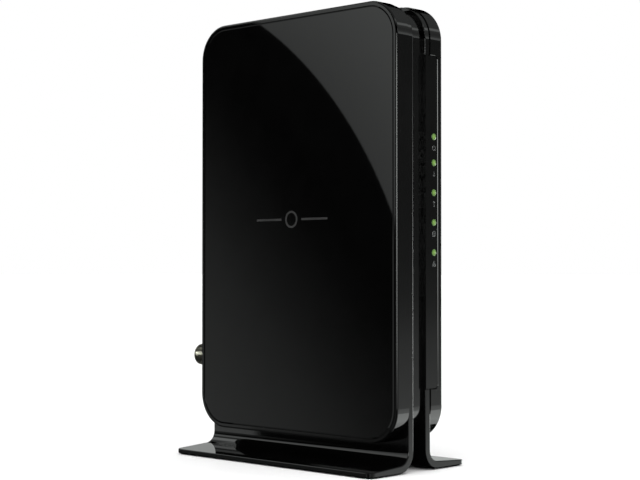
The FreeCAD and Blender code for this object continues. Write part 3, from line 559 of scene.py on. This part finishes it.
# The round dark flag that the side panel mirrors: middle (y, z) and radius on the panel, and half the
# width of its soft edge. EYE is the (y, z) that the card is laid out for, and SPREAD how many times
# farther away than the panel the card lies, seen from EYE's mirror image.
FLAG_Y, FLAG_Z, FLAG_RADIUS, FLAG_SOFT = 0.1162, 0.0178, 0.1991, 0.0004
EYE_Y, EYE_Z = -0.443, 0.0824
SPREAD = 4.385

# The part of the light that black gloss mirrors when seen face on.
GLOSS_MIRRORS = 0.05
LAMP_COLOUR = (0.965, 1.0, 0.98, 1.0)


def emission(name, build):
    """A material that only shines; build makes its strength."""
    made = bpy.data.materials.new(name)
    made.use_nodes = True
    g = Graph(made.node_tree)
    shader = g.node("ShaderNodeEmission")
    shader.inputs["Color"].default_value = LAMP_COLOUR
    g.feed(shader.inputs["Strength"], build(g))
    g.finish(shader.outputs[0])
    made.cycles.emission_sampling = "NONE"
    return made


def card(name, corners, build):
    """A reflection card: seen only by glossy rays, so it shapes the gloss and lights nothing."""
    data = bpy.data.meshes.new(name)
    data.from_pydata([Vector(c) for c in corners], [], [(0, 1, 2, 3)])
    made = bpy.data.objects.new(name, data)
    SCENE.collection.objects.link(made)
    data.materials.append(emission(name, build))
    made.visible_camera = False
    made.visible_diffuse = False
    made.visible_shadow = False
    made.visible_transmission = False


def curve(g, value, low, high, top, stops):
    """A smooth curve through (position, level) stops, from low to high and no level above top."""
    made = g.node("ShaderNodeFloatCurve")
    g.feed(made.inputs["Value"], g.span(value, 0.0, 1.0, low, high))
    points = made.mapping.curves[0].points
    scaled = [((x - low) / (high - low), y / top) for x, y in stops]
    points[0].location, points[-1].location = scaled[0], scaled[-1]
    for x, y in scaled[1:-1]:
        points.new(x, y)
    made.mapping.update()
    return g.times(made.outputs[0], top)


def light_for(g, grey):
    """The light that black gloss mirrors as this grey level (0 to 255) when seen face on."""
    shade = g.math("POWER", g.math("DIVIDE", grey, 255.0), 2.2)
    return g.math("DIVIDE", shade, GLOSS_MIRRORS)


def side_gradient(g):
    """Soft dark round flag in a bright surround: the curved edge that the panel mirrors.

    The low part is for the leg plate and the foot's edge, and a column of light stands in it.
    """
    axes = g.axes()
    y = g.add(g.math("DIVIDE", g.minus(axes["Y"], EYE_Y), SPREAD), EYE_Y)
    z = g.add(g.math("DIVIDE", g.minus(axes["Z"], EYE_Z), SPREAD), EYE_Z)
    reach = g.length(g.minus(y, FLAG_Y), g.minus(z, FLAG_Z))
    slope = g.add(g.minus(y, z), 0.136)
    inside = curve(g, slope, 0.0, 0.2, 50.0,
                   [(0.0, 4.5), (0.02, 11.0), (0.035, 16.5), (0.06, 24.0), (0.1, 35.0),
                    (0.16, 43.0), (0.2, 45.0)])
    outside = curve(g, reach, 0.19, 0.26, 80.0,
                    [(0.19, 50.0), (0.2, 53.0), (0.24, 66.0), (0.26, 70.0)])
    edge = g.span(reach, 0.0, 1.0, FLAG_RADIUS - FLAG_SOFT, FLAG_RADIUS + FLAG_SOFT)
    grey = g.blend(edge, inside, outside)
    leg_plate = g.span(axes["Y"], 2.0, 58.0, 1.56, 1.585)
    under = g.span(axes["Z"], 24.0, leg_plate, -0.27, -0.262)
    low = g.span(axes["Z"], 1.0, 0.0, -0.230, -0.224)
    grey = g.blend(low, grey, under)
    lit = g.times(light_for(g, grey), g.span(axes["Y"], 0.02, 1.0, 1.14, 1.19))
    column = g.span(g.away(axes["Y"], 0.3), 0.5, 0.0, 0.2, 0.3)
    return g.add(lit, g.times(column, g.span(axes["Z"], 1.0, 0.0, 0.12, 0.17)))


def front_gradient(g):
    """Bright near the floor and in a band higher up, falling away towards the object's left."""
    axes = g.axes()
    fall = curve(g, axes["Z"], -1.0, 1.3, 1.6,
                 [(-1.0, 1.6), (-0.32, 1.0), (-0.207, 0.7), (-0.145, 0.54), (-0.067, 0.40),
                  (0.053, 0.17), (0.21, 0.105), (0.4, 0.11), (0.56, 0.11), (0.64, 0.5),
                  (0.72, 0.9), (0.82, 0.4), (0.95, 0.28), (1.3, 0.3)])
    return g.times(fall, g.span(axes["X"], 0.3, 1.0, -0.6, 0.9))


def roof_bands(g):
    """Dim ceiling, dark far back on the object's right, with a tube of light and a rear lamp."""
    axes = g.axes()
    near = curve(g, axes["Y"], -1.5, 3.4, 1.0,
                 [(-1.5, 0.3), (-0.6, 0.27), (0.25, 0.13), (0.4, 0.11), (0.6, 0.01), (3.4, 0.01)])
    left = g.span(axes["X"], 0.28, 0.0, 0.7, 1.0)
    tube = g.span(g.away(axes["Y"], -1.12), 0.8, 0.0, 0.08, 0.22)
    rear_lamp = g.span(g.away(axes["Y"], 1.5), 1.0, 0.0, 0.3, 0.5)
    lamp_level = curve(g, axes["X"], -1.5, 3.4, 1.3,
                       [(-1.5, 0.0), (-0.9, 0.0), (-0.7, 1.3), (-0.4, 1.3), (0.3, 0.0),
                        (3.4, 0.0)])
    total = g.add(g.math("MAXIMUM", near, left), tube)
    return g.add(total, g.times(rear_lamp, lamp_level))


def key_gradient(g):
    """The main strip light, seen only in edges that face the camera's side.

    It is brightest at mid height, stops at both ends, and has a narrow dark gap.
    """
    axes = g.axes()
    height_level = curve(g, axes["Z"], -0.3, 1.1, 20.0,
                         [(-0.3, 0.0), (-0.16, 1.6), (-0.11, 3.2), (-0.04, 8.0), (0.06, 12.0),
                          (0.2, 16.0), (0.35, 16.0), (0.43, 8.0), (0.5, 1.0), (1.1, 0.2)])
    along = g.minus(axes["X"], axes["Y"])
    gap = g.span(g.away(along, -0.152), 0.0, 1.0, 0.09, 0.12)
    gain = g.span(along, 1.3, 0.55, 0.2, 0.27)
    ends = g.span(g.math("ABSOLUTE", along), 1.0, 0.0, 0.36, 0.5)
    return g.times(gain, g.times(height_level, g.times(ends, gap)))


def wall_window(g):
    """Dark wall, paler towards the floor, with a slanted window opposite the camera.

    A strip of light stands on its near end and fades out towards the floor and the ceiling.
    """
    axes = g.axes()
    turn = g.minus(g.math("ARCTAN2", axes["Y"], axes["X"]), 0.762)
    across = g.span(g.math("ABSOLUTE", turn), 0.6, 0.0, 0.15, 0.17)
    middle = g.add(g.times(turn, 3.6), 0.52)
    window = g.times(across, g.span(g.away(axes["Z"], middle), 1.0, 0.0, 0.17, 0.2))
    strip = g.span(g.away(axes["Y"], -1.05), 1.25, 0.0, 0.4, 0.6)
    fall = curve(g, axes["Z"], -1.0, 1.3, 20.0,
                 [(-1.0, 0.0), (-0.58, 0.0), (-0.3, 18.0), (-0.1, 19.0), (0.0, 17.0),
                  (0.155, 13.0), (0.25, 9.0), (0.4, 6.0), (0.52, 4.0), (0.67, 2.0), (1.3, 0.3)])
    haze = curve(g, axes["Z"], -0.6, 0.0, 2.5,
                 [(-0.6, 2.4), (-0.45, 1.2), (-0.25, 0.2), (0.0, 0.02)])
    return g.add(g.add(window, haze), g.times(strip, fall))


def ground_glow(g):
    """Dark on the object's left, pale on its right, and brightest far off towards the front right."""
    axes = g.axes()
    pale = g.span(axes["X"], 0.08, 0.7, -0.1, 0.5)
    ahead = g.span(axes["Y"], 1.8, 0.0, -0.3, 0.1)
    return g.add(pale, g.times(ahead, g.span(axes["X"], 0.0, 1.0, 0.6, 0.95)))


def upright(x0, y0, x1, y1, low, high):
    """Corners of an upright card over the line from (x0, y0) to (x1, y1)."""
    return [(x0, y0, low), (x1, y1, low), (x1, y1, high), (x0, y0, high)]


def level(x0, y0, x1, y1, z):
    """Corners of a level card between two opposite corners."""
    return [(x0, y0, z), (x1, y0, z), (x1, y1, z), (x0, y1, z)]


def add_floor():
    """Pale floor, lit by the sky and the lamp but left out of reflections."""
    reach = 12
    data = bpy.data.meshes.new("floor")
    data.from_pydata(level(-reach, -reach, reach, reach, 0), [], [(0, 1, 2, 3)])
    floor = bpy.data.objects.new("floor", data)
    SCENE.collection.objects.link(floor)
    pale = surface("floor", (0.93,) * 3, (0.95,) * 3, (0.7, 0.8), 40, (0.02, 0.0002))
    data.materials.append(pale)
    floor.visible_glossy = False


def studio():
    """Reflection cards round the object, a white world, a pale floor and one broad soft lamp."""
    near, far, low, high = -1.5, 3.4, -0.6, 1.3
    key_near, key_far, key_top = -1.45, -0.95, 1.1
    shade_x, shade_y, shade_z = 0.036, 0.069, -0.0005
    card("card_left", upright(near, near, near, far, low, high), side_gradient)
    card("card_front", upright(near, near, far, near, low, high), front_gradient)
    card("card_key", upright(key_near, key_far, key_far, key_near, low, key_top), key_gradient)
    card("card_right", upright(far, near, far, far, low, high), wall_window)
    card("card_back", upright(near, far, far, far, low, high), wall_window)
    card("card_roof", level(near, near, far, far, high), roof_bands)
    card("card_below", level(near, near, far, far, low), ground_glow)
    card("card_shade", level(-shade_x, -shade_y, shade_x, shade_y, shade_z), lambda g: 0.002)

    world = bpy.data.worlds.new("studio")
    SCENE.world = world
    world.use_nodes = True
    g = Graph(world.node_tree)
    sky = g.node("ShaderNodeBackground")
    sky.inputs["Color"].default_value = (1.0, 1.0, 1.0, 1.0)
    out = g.node("ShaderNodeOutputWorld")
    g.feed(out.inputs["Surface"], sky.outputs[0])

    add_floor()
    light = bpy.data.lights.new("overhead", "SUN")
    light.angle = math.radians(70)
    light.energy = 1.6
    lamp = bpy.data.objects.new("overhead", light)
    lamp.rotation_euler = (math.radians(18), math.radians(-14), 0)
    lamp.visible_glossy = False
    SCENE.collection.objects.link(lamp)


def camera():
    """The photograph's viewpoint, fitted to its edges, corner arcs and foot corners."""
    data = bpy.data.cameras.new("camera")
    data.sensor_width = 36.0
    data.lens = 82.14
    data.clip_end = 50.0
    made = bpy.data.objects.new("camera", data)
    made.location = (-0.45324, -0.44298, 0.08241)
    towards = Vector((0.72316, 0.69042, 0.01867))
    made.rotation_euler = towards.to_track_quat("-Z", "Y").to_euler()
    SCENE.collection.objects.link(made)
    SCENE.camera = made


# ---------------------------------------------------------------- assembly

for node_object in NODES.values():
    for material_slot in node_object.material_slots:
        known = material_slot.material.name.split(".")[0]
        material_slot.material = MATERIALS[known]

clean_copy("inlet_pin", "power_inlet_pin", "coax_nickel")
clean_copy("light_pipes", "status_light_pipes", "light_lens")
coax_pieces()
status_strip_pieces()
panel_mark()
rear_symbols()
button_symbol()
studio()
camera()
SCENE.view_settings.view_transform = "Standard"
